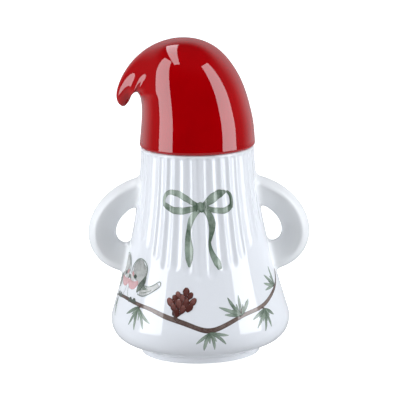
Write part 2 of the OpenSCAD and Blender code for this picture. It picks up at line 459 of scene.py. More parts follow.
def watercolour(name, pale, dark, strength=0.95, edge_line=0.35):
    """Fired-on paint: pools of colour, darker at its edge, that fades out at the rim."""
    def inputs(nodes):
        edge = nodes.attribute("edge")
        tone = nodes.attribute("tone")
        pool = nodes.noise(620.0, 3.0, 0.6)
        grain = nodes.noise(3200.0, 1.0)
        rim = edge.ramp(0.45, 0.92)
        depth = tone + (pool - 0.5) * 0.9 + (grain - 0.5) * 0.25 + rim * edge_line
        fade = 1.0 - edge.ramp(0.86, 1.0)
        cover = (pool * 0.35 + (strength - 0.2)).lowest(1.0)
        return {
            "Base Color": nodes.mix(depth.ramp(0.0, 1.0), pale, dark),
            "Roughness": 0.12,
            "Specular IOR Level": 0.0,
            "Coat Weight": 1.0,
            "Coat Roughness": COAT_ROUGHNESS,
            "Coat IOR": COAT_IOR,
            "Alpha": fade * cover,
            "Normal": glaze_ripple(nodes, 0.00010),
        }
    return surface_material(name, inputs)


# ---- Body -------------------------------------------------------------------------------

class Wall:
    """The body's outer wall: a long sweep, a straight cone, the round of the hem and the
    underside, each meeting the next at a tangent, with flutes sunk into the sweep."""

    FLARE_ABOVE_RIM = 6.2 * MM
    WAIST_IN = 0.1 * MM
    RIDGE = 6.0          # sharpness of the ridges between flutes
    FADE_TO_SIDES = 0.5  # share of the depth that flutes lose towards the arms
    LAND = 1.22          # spacing of the flutes as a share of their width
    END_ROUND = 2.6 * MM  # length over which a flute runs out at its lower end
    TOP_ROUND = 1.0 * MM  # the same at its upper end

    def __init__(self, body):
        self.body = body
        self.flare_z = body.height + self.FLARE_ABOVE_RIM
        waist = body.neck_radius - self.WAIST_IN
        sweep_h = self.flare_z - body.sweep_end
        hem_r = body.hem_radius
        self.hem = (body.skirt_radius - hem_r, body.hem_height)
        drop = self.flare_z - body.hem_height
        reach = waist - self.hem[0] + hem_r
        t = 0.0
        for _ in range(8):
            value = (sweep_h * t ** 3 + reach * t ** 2 - (2 * drop - sweep_h) * t
                     + body.skirt_radius - waist)
            t -= value / (3 * sweep_h * t ** 2 + 2 * reach * t - (2 * drop - sweep_h))
        self.lean = 2 * math.atan(t)
        self.flare_r = sweep_h / math.sin(self.lean)
        self.flare_x = waist + self.flare_r
        foot = (body.foot_radius - self.hem[0], body.foot_height - self.hem[1])
        self.under = math.atan2(foot[1], foot[0]) + math.acos(hem_r / math.hypot(*foot))
        self.pitch = 2 * math.pi / body.flute_count
        dice = random.Random(11)
        self.ends = np.array([
            body.flute_end + dice.uniform(-1, 1) * body.flute_stagger
            + body.flute_side_rise * math.sin(i * self.pitch) ** 2
            for i in range(body.flute_count)])

    def smooth_radius(self, z, inset=0.0):
        """Radius of the wall without its flutes, moved in by an inset."""
        z = np.asarray(z, float)
        hem_r = self.body.hem_radius - inset
        flare_r = self.flare_r + inset
        sweep = self.flare_x - np.sqrt(flare_r ** 2 - (z - self.flare_z) ** 2)
        hem_top = self.hem[1] + hem_r * math.sin(self.lean)
        cone = (self.hem[0] + hem_r * math.cos(self.lean)
                - (z - hem_top) * math.tan(self.lean))
        bulge = self.hem[0] + np.sqrt(np.clip(hem_r ** 2 - (z - self.hem[1]) ** 2, 0, None))
        sweep_z = self.flare_z - flare_r * math.sin(self.lean)
        return np.where(z > sweep_z, sweep, np.where(z > hem_top, cone, bulge))

    def flute_depth(self, theta, z):
        """How deep the flutes are cut at an angle and a height."""
        theta, z = np.broadcast_arrays(np.asarray(theta, float), np.asarray(z, float))
        body = self.body
        nearest = np.round(theta / self.pitch).astype(int)
        total = np.ones_like(z)
        top = body.height - body.flute_top_gap
        above = np.clip(z - (top - self.TOP_ROUND), 0, None) / self.TOP_ROUND
        for step in (-1, 0, 1):
            number = nearest + step
            across = 2 * self.LAND * (theta / self.pitch - number)
            end = self.ends[number % body.flute_count]
            below = np.clip(end + self.END_ROUND - z, 0, None) / self.END_ROUND
            level = 1 - across ** 2 - below ** 2 - above ** 2
            total = total + np.exp(self.RIDGE * np.clip(level, -4, 1))
        down = (top - z) / (top - body.flute_end)
        depth = body.flute_top_depth + (body.flute_end_depth - body.flute_top_depth) * down
        depth = np.clip(depth, 0, None) * (1 - self.FADE_TO_SIDES * np.sin(theta) ** 2)
        return depth * np.log(total) / self.RIDGE

    def radius(self, theta, z):
        """Radius of the fluted wall."""
        return self.smooth_radius(z) - self.flute_depth(theta, z)

    def point(self, theta, z, lift=0.0):
        """A point on the fluted wall, lifted along its normal."""
        theta, z = np.broadcast_arrays(np.asarray(theta, float), np.asarray(z, float))
        turn, rise = 0.002, 0.05 * MM
        r = self.radius(theta, z)
        r_turn = (self.radius(theta + turn, z) - self.radius(theta - turn, z)) / (2 * turn)
        r_rise = (self.radius(theta, z + rise) - self.radius(theta, z - rise)) / (2 * rise)
        sine, cosine = np.sin(theta), np.cos(theta)
        normal = np.stack([r * sine - r_turn * cosine, -r * cosine - r_turn * sine,
                           -r * r_rise], axis=-1)
        normal /= np.linalg.norm(normal, axis=-1, keepdims=True)
        place = np.stack([r * sine, -r * cosine, z], axis=-1)
        return place + normal * np.asarray(lift, float)[..., None]


class GNOME_OT_body(bpy.types.Operator):
    """Makes the fluted porcelain body"""
    bl_idname = "gnome.make_body"
    bl_label = "Body"

    COLUMNS_PER_FLUTE = 12

    def outside(self, wall, body):
        """Profile from the middle of the foot up the outside to the rim."""
        ring_in = body.foot_radius - body.foot_width
        foot_c = (body.foot_radius - body.foot_round, body.foot_round)
        hem_low = (wall.hem[0] + body.hem_radius * math.cos(wall.under),
                   wall.hem[1] + body.hem_radius * math.sin(wall.under))
        rim_z = body.height - body.rim_round
        rim_r = float(wall.smooth_radius(rim_z))
        foot_top = (body.foot_radius, body.foot_height)
        recess = (ring_in, body.foot_recess)
        heights = np.concatenate([
            np.linspace(wall.hem[1] + body.hem_radius * math.sin(wall.lean), 30 * MM, 14),
            np.linspace(30 * MM, 46 * MM, 44)[1:],
            np.linspace(46 * MM, 72 * MM, 26)[1:],
            np.linspace(72 * MM, rim_z, 22)[1:]])
        return ([(r, body.foot_recess) for r in (6 * MM, 12 * MM, 17 * MM)]
                + corner((0, body.foot_recess), recess, (ring_in, 0), 0.5 * MM, 4)
                + corner(recess, (ring_in, 0), foot_c, 0.3 * MM, 4)
                + arc(foot_c, body.foot_round, -math.pi / 2, 0, 5)
                + corner(foot_c, foot_top, hem_low, 0.5 * MM, 6)
                + arc(wall.hem, body.hem_radius, wall.under, wall.lean, 40)[:-1]
                + [(float(wall.smooth_radius(z)), z) for z in heights]
                + arc((rim_r - body.rim_round, rim_z), body.rim_round, 0, math.pi / 2, 6)[1:])

    def inside(self, wall, body):
        """Profile from the mouth down the inside to the middle of the floor."""
        mouth = body.neck_radius - body.wall
        chamfer = 0.5 * MM
        mouth_z = body.height - body.mouth_depth
        floor = body.foot_recess + body.wall
        hem_r = body.hem_radius - body.wall
        low = wall.hem[1] + hem_r * math.sin(wall.under)
        heights = np.linspace(mouth_z - 1.0 * MM, wall.hem[1] + hem_r * math.sin(wall.lean), 24)
        floor_r = wall.hem[0] + hem_r * math.cos(wall.under) - (low - floor) * 2.0
        return (corner((20 * MM, body.height), (mouth + chamfer, body.height),
                       (mouth, body.height - chamfer), 0.25 * MM, 4)
                + corner((mouth + chamfer, body.height), (mouth, body.height - chamfer),
                         (mouth, mouth_z), 0.25 * MM, 4)
                + [(mouth, body.height - body.mouth_depth / 2), (mouth, mouth_z)]
                + [(float(wall.smooth_radius(z, body.wall)), z) for z in heights]
                + arc(wall.hem, hem_r, wall.lean, wall.under, 16)[1:]
                + [(floor_r, floor), (floor_r * 0.7, floor), (floor_r * 0.35, floor)])

    def execute(self, context):
        body = context.scene.gnome_body
        wall = Wall(body)
        columns = body.flute_count * self.COLUMNS_PER_FLUTE
        theta = np.linspace(0, 2 * math.pi, columns, endpoint=False)
        outside = self.outside(wall, body)
        inside = self.inside(wall, body)
        rings = []
        for r, z in outside:
            fluted = z > body.hem_height
            radius = r - (wall.flute_depth(theta, z) if fluted else 0 * theta)
            rings.append(np.stack([radius * np.sin(theta), -radius * np.cos(theta),
                                   0 * theta + z], axis=-1))
        for r, z in inside:
            rings.append(np.stack([r * np.sin(theta), -r * np.cos(theta), 0 * theta + z],
                                  axis=-1))
        points, faces = closed_tube(rings)
        piece = make_piece("glazed_body", points, faces, white_glaze(body), "jar",
                           ["body"])
        piece.data.materials.append(bare_porcelain(body))
        ring_in = body.foot_radius - body.foot_width
        for face in piece.data.polygons:
            centre = face.center
            radius = math.hypot(centre.x, centre.y)
            if centre.z < 0.12 * MM and ring_in - 0.1 * MM < radius:
                face.material_index = 1
        return {"FINISHED"}


# ---- Arms -------------------------------------------------------------------------------

class GNOME_OT_arms(bpy.types.Operator):
    """Makes both ear-shaped arms, with the slip fillets that join them to the wall"""
    bl_idname = "gnome.make_arms"
    bl_label = "Arms"

    STATIONS = 110
    SECTION_STEPS = 14
    INNER_EDGE = 0.90     # share of the width where the gap's round edge begins
    BEVEL = 1.22          # above 1 the outer side flattens towards a bevel
    BURIED = 1.0 * MM     # how far the closed root lies inside the wall
    SUNK = 0.06 * MM      # how far the fillet's edge lies inside the wall
    TURN = math.radians(175)  # how far round the outline a streamline is followed each way
    TURN_STEPS = 1401

    def section(self, arms):
        """Shares of the width and half thicknesses round a section."""
        full, thin = arms.thickness / 2, arms.gap_thickness / 2
        quarter = np.linspace(0, math.pi / 2, self.SECTION_STEPS)
        taper = np.linspace(0, 1, self.SECTION_STEPS)[1:]
        inner = np.linspace(0, math.pi / 2, 7)[1:]
        edge = 1 - self.INNER_EDGE
        across = np.concatenate([
            arms.crest * (1 - np.cos(quarter) ** self.BEVEL),
            arms.crest + (self.INNER_EDGE - arms.crest) * taper,
            self.INNER_EDGE + edge * np.sin(inner)])
        half = np.concatenate([
            full * np.sin(quarter) ** self.BEVEL,
            full + (thin - full) * taper ** 1.3,
            thin * np.cos(inner)])
        front = np.stack([across, -half], axis=-1)
        back = np.stack([across, half], axis=-1)[-2:0:-1]
        return np.vstack([front, back])

    def execute(self, context):
        scene = context.scene
        arms = scene.gnome_arms
        wall = Wall(scene.gnome_body)
        self.wall = wall
        arm_z = scene.gnome_body.height - arms.drop
        reach = math.hypot(arms.long * math.cos(arms.droop), arms.short * math.sin(arms.droop))
        arm_x = float(wall.smooth_radius(arm_z)) + arms.out - reach
        section = self.section(arms)

        def ellipse(x, long, short, droop, a):
            along, across = long * np.cos(a + droop), short * np.sin(a + droop)
            return np.stack([x + along * math.cos(droop) + across * math.sin(droop),
                             arm_z - along * math.sin(droop) + across * math.cos(droop)],
                            axis=-1)

        def streamline(k, a):
            """Points along the arm for one place in the section, and the inward direction."""
            outer = ellipse(arm_x, arms.long, arms.short, arms.droop, a)
            inner = ellipse(arm_x + arms.gap_shift, arms.gap_long, arms.gap_short,
                            arms.gap_droop, a)
            flat = outer + (inner - outer) * section[k, 0]
            width = inner - outer
            return np.stack([flat[..., 0], 0 * a + section[k, 1], flat[..., 1]], axis=-1), width

        def outside(points):
            theta = np.arctan2(points[..., 0], -points[..., 1])
            return np.hypot(points[..., 0], points[..., 1]) - wall.radius(theta, points[..., 2])

        turn = np.linspace(self.TURN, -self.TURN, self.TURN_STEPS)
        columns = []
        for k in range(len(section)):
            line, widths = streamline(k, turn)
            free = outside(line) > 0
            middle = len(turn) // 2
            first = middle - int(np.argmin(free[middle::-1]))
            last = middle + int(np.argmin(free[middle:]))
            steps = np.linalg.norm(np.diff(line, axis=0), axis=1)
            run = np.concatenate([[0], np.cumsum(steps)])
            before, after = section[k - 1], section[(k + 1) % len(section)]
            ends = []
            for at in (first, last):
                width = float(np.linalg.norm(widths[at]))
                inward = widths[at] / width
                tangent = (after - before) * (width, 1)
                normal2 = np.array([tangent[1], -tangent[0]])
                normal2 /= np.linalg.norm(normal2)
                if k == 0:
                    normal2 = np.array([-1.0, 0.0])
                normal = np.array([normal2[0] * inward[0], normal2[1],
                                   normal2[0] * inward[1]])
                ends.append((at, normal))
            columns.append((line, run, ends))
        orient = self.outward_sign(section)

        free_t = np.linspace(0, 1, self.STATIONS)
        shapes = []
        for line, run, ends in columns:
            (top_at, top_normal), (low_at, low_normal) = ends
            start_s, end_s = run[top_at] + arms.root, run[low_at] - arms.root
            where = start_s + (end_s - start_s) * free_t
            body_points = np.stack([np.interp(where, run, line[:, i]) for i in range(3)],
                                   axis=-1)
            top = self.root(line[top_at], body_points[0], top_normal * orient, arms.root)
            low = self.root(line[low_at], body_points[-1], low_normal * orient, arms.root)
            shapes.append(np.vstack([top[::-1], body_points[1:-1], low]))
        rings = np.stack(shapes, axis=1)
        for side, name, node in ((1, "right_arm_glazed", "right_arm"),
                                 (-1, "left_arm_glazed", "left_arm")):
            points, faces = closed_tube(rings * np.array([side, 1, 1]))
            make_piece(name, points, faces, bpy.data.materials["white_glaze"], "jar",
                       [node])
        return {"FINISHED"}

    def outward_sign(self, section):
        """Plus one when the section's computed normals point out of it, or minus one."""
        area = 0.0
        for (x0, y0), (x1, y1) in zip(section, np.roll(section, -1, axis=0)):
            area += x0 * y1 - x1 * y0
        return 1.0 if area > 0 else -1.0

    def root(self, entry, start, normal, reach):
        """A fillet from the arm onto the wall, then a buried end. It starts on the arm."""
        wall = self.wall
        theta = math.atan2(entry[0], -entry[1])
        z = entry[2]
        slope = float(wall.smooth_radius(z + MM) - wall.smooth_radius(z - MM)) / (2 * MM)
        around = np.array([math.cos(theta), math.sin(theta), 0])
        up = np.array([math.sin(theta) * slope, -math.cos(theta) * slope, 1.0])
        up /= np.linalg.norm(up)
        way = np.array([normal @ around, normal @ up])
        way /= max(np.linalg.norm(way), 1e-9)
        radius = math.hypot(entry[0], entry[1])
        land_theta = theta + way[0] * reach / radius
        land_z = z + way[1] * reach * up[2]
        landing = wall.point(land_theta, land_z, np.array(-self.SUNK))
        buried = wall.point(land_theta, land_z, np.array(-self.BURIED))
        t = np.linspace(0, 1, 9)[:, None]
        curve = (1 - t) ** 2 * start + 2 * t * (1 - t) * entry + t * t * landing
        return np.vstack([curve, buried])


# ---- Hat --------------------------------------------------------------------------------

class GNOME_OT_hat(bpy.types.Operator):
    """Makes the hollow red hat with its curled tip and locating ring"""
    bl_idname = "gnome.make_hat"
    bl_label = "Hat"

    SIDES = 144
    HOLLOW_END = 7.5      # station where the cast hollow ends
    BLEND_ROUNDS = 20     # rounds of blending between sections
    LEAST = 0.02          # least half depth, as a share of the brim's radius
    # Outer and inner end of each section, as shares of the brim's radius and the height
    STATIONS = (
        (1.00, 0.03, -1.00, 0.03), (0.98, 0.19, -0.97, 0.17), (0.93, 0.34, -0.95, 0.31),
        (0.83, 0.53, -0.955, 0.41), (0.67, 0.71, -0.975, 0.465), (0.43, 0.87, -1.00, 0.495),
        (0.12, 0.97, -1.025, 0.51), (-0.22, 1.00, -1.055, 0.51), (-0.55, 0.975, -1.09, 0.50),
        (-0.87, 0.895, -1.115, 0.485), (-1.13, 0.77, -1.135, 0.46), (-1.30, 0.63, -1.16, 0.43),
        (-1.38, 0.50, -1.20, 0.40), (-1.36, 0.415, -1.24, 0.38), (-1.30, 0.383, -1.28, 0.377))
    # Crown: height, middle and radius of level circles, as shares
    CROWN = ((0.0, 0.0, 1.0), (0.19, 0.005, 0.975), (0.34, -0.01, 0.94), (0.53, -0.06, 0.89),
             (0.71, -0.13, 0.80), (0.87, -0.20, 0.63), (0.97, -0.22, 0.34), (1.0, -0.22, 0.0))
    EDGE = 0.08           # radius of the edge where the crown runs out into the curl
    LEAST_LEAN = 0.75     # least sine of the angle between a flank and the middle plane
    CURL_DEPTH = 0.70     # depth of the curl as a share of its width
    CURL_STATIONS = (7.5, 12)  # stations whose outer ends give the curl's edge
    HORN_FLOOR = 0.15     # least share of the horn's depth where the crown runs out
    CLOSING = 24.0        # sharpness of the edge that closes a section
    SOFTENING = 10.0      # how much less sharp it is on the curl's side
    LEAST_REAL = 0.4 * MM  # least half depth in metres

    def level(self, radius, z, rim):
        t = np.linspace(0, 2 * math.pi, self.SIDES, endpoint=False)
        return np.stack([radius * np.cos(t), radius * np.sin(t), 0 * t + rim + z], axis=-1)

    def crown(self, z):
        """Middle and radius of the crown's level circle at a height."""
        heights, middles, radii = np.array(self.CROWN).T
        rows = Spline(np.stack([heights, middles, radii ** 2], axis=-1))
        dense = rows(np.linspace(0, len(heights) - 1, 600))
        middle = np.interp(z, dense[:, 0], dense[:, 1])
        return middle, np.sqrt(np.clip(np.interp(z, dense[:, 0], dense[:, 2]), 1e-6, None))

    def step(self, value, start, end):
        """A smooth step from 0 at start to 1 at end."""
        t = np.clip((value - start) / (end - start), 0, 1)
        return t * t * (3 - 2 * t)

    def half_depth(self, u, x, z, t, radius):
        """Half of the hat's depth front to back at a place in its middle plane. Level slices
        of the crown are circles that run out to the curl's edge along two tangents, like a
        drop; past the crown the curl turns into a round horn."""
        middle, crown = self.crown(z)
        outline = Spline(self.STATIONS)(np.linspace(*self.CURL_STATIONS, 300))
        edge_x = np.interp(z, outline[::-1, 1], outline[::-1, 0])
        spread = self.step(u, 3.0, 5.5)
        edge_x = (1 - spread) * (middle - crown) + spread * np.minimum(edge_x, middle - crown)
        widest = crown / self.LEAST_LEAN + self.step(u, 8.0, 10.0)
        gap = np.clip(middle - edge_x, crown * 1.001, widest)
        edge_x = middle - gap
        lean = crown / gap
        run = np.clip(x - edge_x, 0, None)
        touch = crown * np.sqrt(1 - lean ** 2)
        slope = lean / touch * crown * (np.hypot(touch, self.EDGE) - self.EDGE) / touch
        flank = np.sqrt((run * slope + self.EDGE) ** 2 - self.EDGE ** 2)
        circle = np.sqrt(np.clip(crown ** 2 - (x - middle) ** 2, 0, None))
        drop = np.where(x < middle - crown * lean, flank, circle)
        drop = np.sqrt(drop ** 2 + self.LEAST ** 2)
        tight = self.CLOSING - self.SOFTENING * self.step(u, 3.0, 6.0)
        power = np.where(np.cos(t) > 0, self.CLOSING, tight)
        closing = np.sqrt(1 - np.abs(np.cos(t)) ** power)
        horn = self.CURL_DEPTH * radius * np.abs(np.sin(t))
        drop = (drop ** 3 + (self.HORN_FLOOR * self.step(u, 5.5, 9.0) * horn) ** 3) ** (1 / 3)
        curl = self.step(u, 8.0, 11.0)
        return (1 - curl) * drop * closing + curl * horn

    def surface(self, places, hat, rim, inset):
        """Rings of the outside or of the cast hollow, with their depths blended smoothly
        from section to section and round each section."""
        rings = np.stack([self.section(u, row, hat, rim, inset)
                          for u, row in zip(places, Spline(self.STATIONS)(places))])
        t = np.linspace(0, 2 * math.pi, self.SIDES, endpoint=False)
        sine = np.abs(np.sin(t))
        sine[[0, self.SIDES // 2]] = sine[1]
        fullness = np.abs(rings[:, :, 1]) / sine
        fullness[:, 0] = fullness[:, 1]
        fullness[:, self.SIDES // 2] = fullness[:, self.SIDES // 2 + 1]
        for _ in range(self.BLEND_ROUNDS):
            fullness[1:-1] = (fullness[:-2] + 2 * fullness[1:-1] + fullness[2:]) / 4
            fullness = (np.roll(fullness, 1, 1) + 2 * fullness + np.roll(fullness, -1, 1)) / 4
        rings[:, :, 1] = fullness * np.sin(t)
        return list(rings)

    def section(self, u, row, hat, rim, inset):
        outer = np.array([row[0] * hat.radius, row[1] * hat.height])
        inner = np.array([row[2] * hat.radius, row[3] * hat.height])
        centre, half = (outer + inner) / 2, (outer - inner) / 2
        radius = np.linalg.norm(half)
        way = half / radius
        t = np.linspace(0, 2 * math.pi, self.SIDES, endpoint=False)
        reach = max(radius - inset, 0.01 * MM) * np.cos(t)
        x, z = centre[0] + way[0] * reach, centre[1] + way[1] * reach
        depth = hat.radius * self.half_depth(u, x / hat.radius, z / hat.height, t,
                                             radius / hat.radius)
        least = self.LEAST_REAL * np.abs(np.sin(t))
        if inset:
            depth = np.maximum((depth - inset) * np.sqrt(1 - np.cos(t) ** self.CLOSING), least)
        return np.stack([x, np.sign(np.sin(t)) * np.maximum(depth, least), z + rim], axis=-1)

    def execute(self, context):
        hat = context.scene.gnome_hat
        rim = context.scene.gnome_body.height
        last = len(self.STATIONS) - 1
        outer_u = np.concatenate([np.linspace(last, last - 2, 20), np.linspace(last - 2, 3, 90)[1:],
                                  np.linspace(3, 0.05, 30)[1:]])
        rings = self.surface(outer_u, hat, rim, 0.0)
        brim_c = (hat.radius - hat.brim_round, hat.brim_round)
        ring_in = hat.ring_radius - hat.ring_wall
        turned = (arc(brim_c, hat.brim_round, 0, -math.pi / 2, 8)
                  + corner((hat.radius, 0), (hat.ring_radius, 0),
                           (hat.ring_radius, -hat.ring_depth), 0.3 * MM, 4)
                  + corner((hat.ring_radius, 0), (hat.ring_radius, -hat.ring_depth),
                           (ring_in, -hat.ring_depth), 0.6 * MM, 5)
                  + corner((hat.ring_radius, -hat.ring_depth), (ring_in, -hat.ring_depth),
                           (ring_in, 0), 0.6 * MM, 5)
                  + [(ring_in, -1.5 * MM), (ring_in, 0.2 * MM),
                     (hat.radius - hat.wall - 0.6 * MM, 2.4 * MM)])
        rings += [self.level(r, z, rim) for r, z in turned]
        hollow_u = np.linspace(0.5, self.HOLLOW_END, 34)
        rings += self.surface(hollow_u, hat, rim, hat.wall)
        points, faces = closed_tube(rings)
        make_piece("glazed_hat", points, faces, red_glaze(hat), "lid", ["hat"])
        return {"FINISHED"}


# ---- Painted decor ----------------------------------------------------------------------

class Film:
    """Brush strokes of fired-on paint: thin closed sheets that follow the fluted wall."""

    STEP = 0.28 * MM      # spacing of points along and across a stroke
    BURIED = 0.10 * MM    # how far a sheet's underside lies inside the glaze
    FADE = 0.45 * MM      # length over which a stroke's ends fade

    def __init__(self, wall, decor):
        self.wall = wall
        self.film = decor.film
        self.points = []
        self.faces = []
        self.marks = {"edge": [], "tone": []}

    def stroke(self, spine, widths, tones=0.5, layer=0):
        """Paints along a spine of (degrees, millimetres) with widths in millimetres and
        tones from 0, pale, to 1, dark. Higher layers lie on top of lower ones."""
        spine = np.asarray(spine, float) * (math.pi / 180, MM)
        knots = np.arange(len(spine))
        rough = Spline(spine)(np.linspace(0, knots[-1], 8 * len(spine)))
        run = np.linalg.norm(np.diff(rough * (30 * MM, 1), axis=0), axis=1).sum()
        steps = max(6, int(run / self.STEP))
        u = np.linspace(0, knots[-1], steps + 1)
        theta, z = Spline(spine)(u).T
        width = self.spread(widths, knots, u) * MM
        tone = self.spread(tones, knots, u)
        radius = self.wall.smooth_radius(z)
        rise = (self.wall.smooth_radius(z + MM) - self.wall.smooth_radius(z - MM)) / (2 * MM)
        upright = 1 / np.sqrt(1 + rise ** 2)
        way = np.stack([np.gradient(theta) * radius, np.gradient(z) / upright], axis=-1)
        way /= np.linalg.norm(way, axis=-1, keepdims=True)
        run = np.concatenate([[0], np.cumsum(np.hypot(np.diff(theta) * radius[1:],
                                                      np.diff(z) / upright[1:]))])
        columns = max(5, int(width.max() / self.STEP) + 2)
        side = np.linspace(-1, 1, columns)[None, :]
        across = side * width[:, None] / 2
        turn = theta[:, None] - way[:, 1:] * across / radius[:, None]
        height = z[:, None] + way[:, :1] * across * upright[:, None]
        ends = np.minimum(run, run[-1] - run)[:, None] / min(self.FADE, run[-1] / 3)
        edge = np.maximum(np.abs(side), 1 - np.clip(ends, 0, 1))
        self.sheet(turn, height, layer, {"edge": edge, "tone": tone[:, None] + 0 * side})

    def spread(self, values, knots, u):
        """Values along a stroke from one value, or from one value at each knot."""
        values = np.atleast_1d(np.asarray(values, float))
        if len(values) == 1:
            return np.full_like(u, values[0])
        places = np.linspace(0, knots[-1], len(values))
        return np.interp(u, places, values)

    def sheet(self, theta, z, layer, marks):
        """Adds a closed sheet from a grid of places on the wall."""
        rows, columns = theta.shape
        lift = self.film * (1 + 0.5 * layer)
        top = self.wall.point(theta, z, lift).reshape(-1, 3)
        bottom = self.wall.point(theta, z, -self.BURIED).reshape(-1, 3)
        first = sum(len(p) for p in self.points)
        size = rows * columns
        for i in range(rows - 1):
            for j in range(columns - 1):
                a = first + i * columns + j
                quad = [a, a + 1, a + columns + 1, a + columns]
                self.faces.append(quad)
                self.faces.append([v + size for v in quad[::-1]])
        border = ([(0, j) for j in range(columns)]
                  + [(i, columns - 1) for i in range(1, rows)]
                  + [(rows - 1, j) for j in range(columns - 2, -1, -1)]
                  + [(i, 0) for i in range(rows - 2, 0, -1)])
        loop = [first + i * columns + j for i, j in border]
        for a, b in zip(loop, loop[1:] + loop[:1]):
            self.faces.append([b, a, a + size, b + size])
        self.points += [top, bottom]
        for name, values in marks.items():
            flat = np.broadcast_to(values, theta.shape).reshape(-1)
            self.marks[name] += [flat, flat]

    def finish(self, name, material, slot):
        """Makes the piece from the strokes gathered so far."""
        piece = make_piece(name, np.vstack(self.points), self.faces, material, "jar")
        for mark, values in self.marks.items():
            set_attribute(piece, mark, np.concatenate(values))
        return piece


class GNOME_OT_bow(bpy.types.Operator):
    """Paints the ribbon bow on the front"""
    bl_idname = "gnome.paint_bow"
    bl_label = "Bow"

    def execute(self, context):
        decor = context.scene.gnome_decor
        film = Film(Wall(context.scene.gnome_body), decor)
        # Left loop: out along the top, round the end and back along the bottom
        film.stroke([(0, 60.2), (-9, 62.3), (-17, 64.2), (-25, 65.1), (-31.5, 64.5), (-34.4, 62.2),
                     (-33.4, 59.8)],
                    [1.7, 2.2, 2.6, 2.2, 1.6, 1.4, 1.5], [0.75, 0.4, 0.1, 0.35, 0.2, 0.0, 0.3])
        film.stroke([(-33.6, 60.7), (-28, 59.1), (-19, 58.4), (-9, 58.9), (0, 60)],
                    [1.6, 2.5, 2.9, 2.5, 1.8], [0.3, 0.65, 0.2, 0.5, 0.9], 1)
        # Right loop
        film.stroke([(31.6, 59.0), (33, 61.0), (32, 63.6), (28.6, 65.2)],
                    [1.6, 1.5, 1.3, 1.0], [0.8, 1.0, 0.8, 0.5])
        film.stroke([(32.4, 59.9), (28, 58.4), (20, 58.2), (11, 59.0), (5, 60)],
                    [1.4, 2.5, 2.4, 2.0, 1.6], [0.95, 0.5, 0.25, 0.6, 0.9], 0.5)
        film.stroke([(4, 60.2), (9, 61.6), (15, 63.3), (21.5, 64.6), (28, 65)],
                    [1.9, 2.9, 3.8, 3.2, 1.0], [0.85, 0.55, 0.3, 0.6, 0.7], 1)
        # Tails, each with a fold
        film.stroke([(1, 59), (-4, 57.2), (-7.6, 54.4), (-9.2, 51.2)],
                    [2.0, 2.4, 2.3, 1.7], [0.6, 0.1, 0.2, 0.7], 1)
        film.stroke([(-9.2, 52), (-9.4, 48.5), (-8.6, 44.5), (-8.4, 41), (-8.2, 38)],
                    [1.6, 2.5, 3.5, 3.0, 0.8], [0.9, 0.6, 0.15, 0.45, 0.6])
        film.stroke([(5, 59.2), (9.6, 57), (12, 53.6), (11, 50), (9.2, 46.8)],
                    [2.0, 2.7, 2.8, 1.8, 1.0], [0.7, 0.45, 0.6, 0.8, 0.95], 1)
        film.stroke([(9.2, 47.6), (9.6, 44.8), (11.8, 41.8), (14.8, 39.2), (16.4, 37)],
                    [0.9, 1.5, 2.3, 3.0, 1.8], [0.9, 0.7, 0.35, 0.3, 0.6])
        # Knot over the loops and tails
        film.stroke([(-1.6, 59.9), (2, 60.1), (6, 59.9)], [2.4, 3.6, 2.8], [0.7, 0.35, 0.8], 2)
        film.stroke([(5.6, 61.8), (7.4, 60.4), (7, 58.4)], [0.5, 1.1, 0.5], 1.2, 3)
        film.stroke([(-2.6, 61.6), (-1.4, 60), (-2.4, 58.2)], [0.4, 0.9, 0.4], 1.1, 3)
        film.stroke([(0.4, 58.6), (3, 58.2), (5.4, 58.8)], [0.3, 0.7, 0.3], 0.9, 3)
        film.finish("painted_bow", watercolour("ribbon_green", decor.sage, decor.pine, 0.95, 0.12),
                    "green_decor")
        return {"FINISHED"}


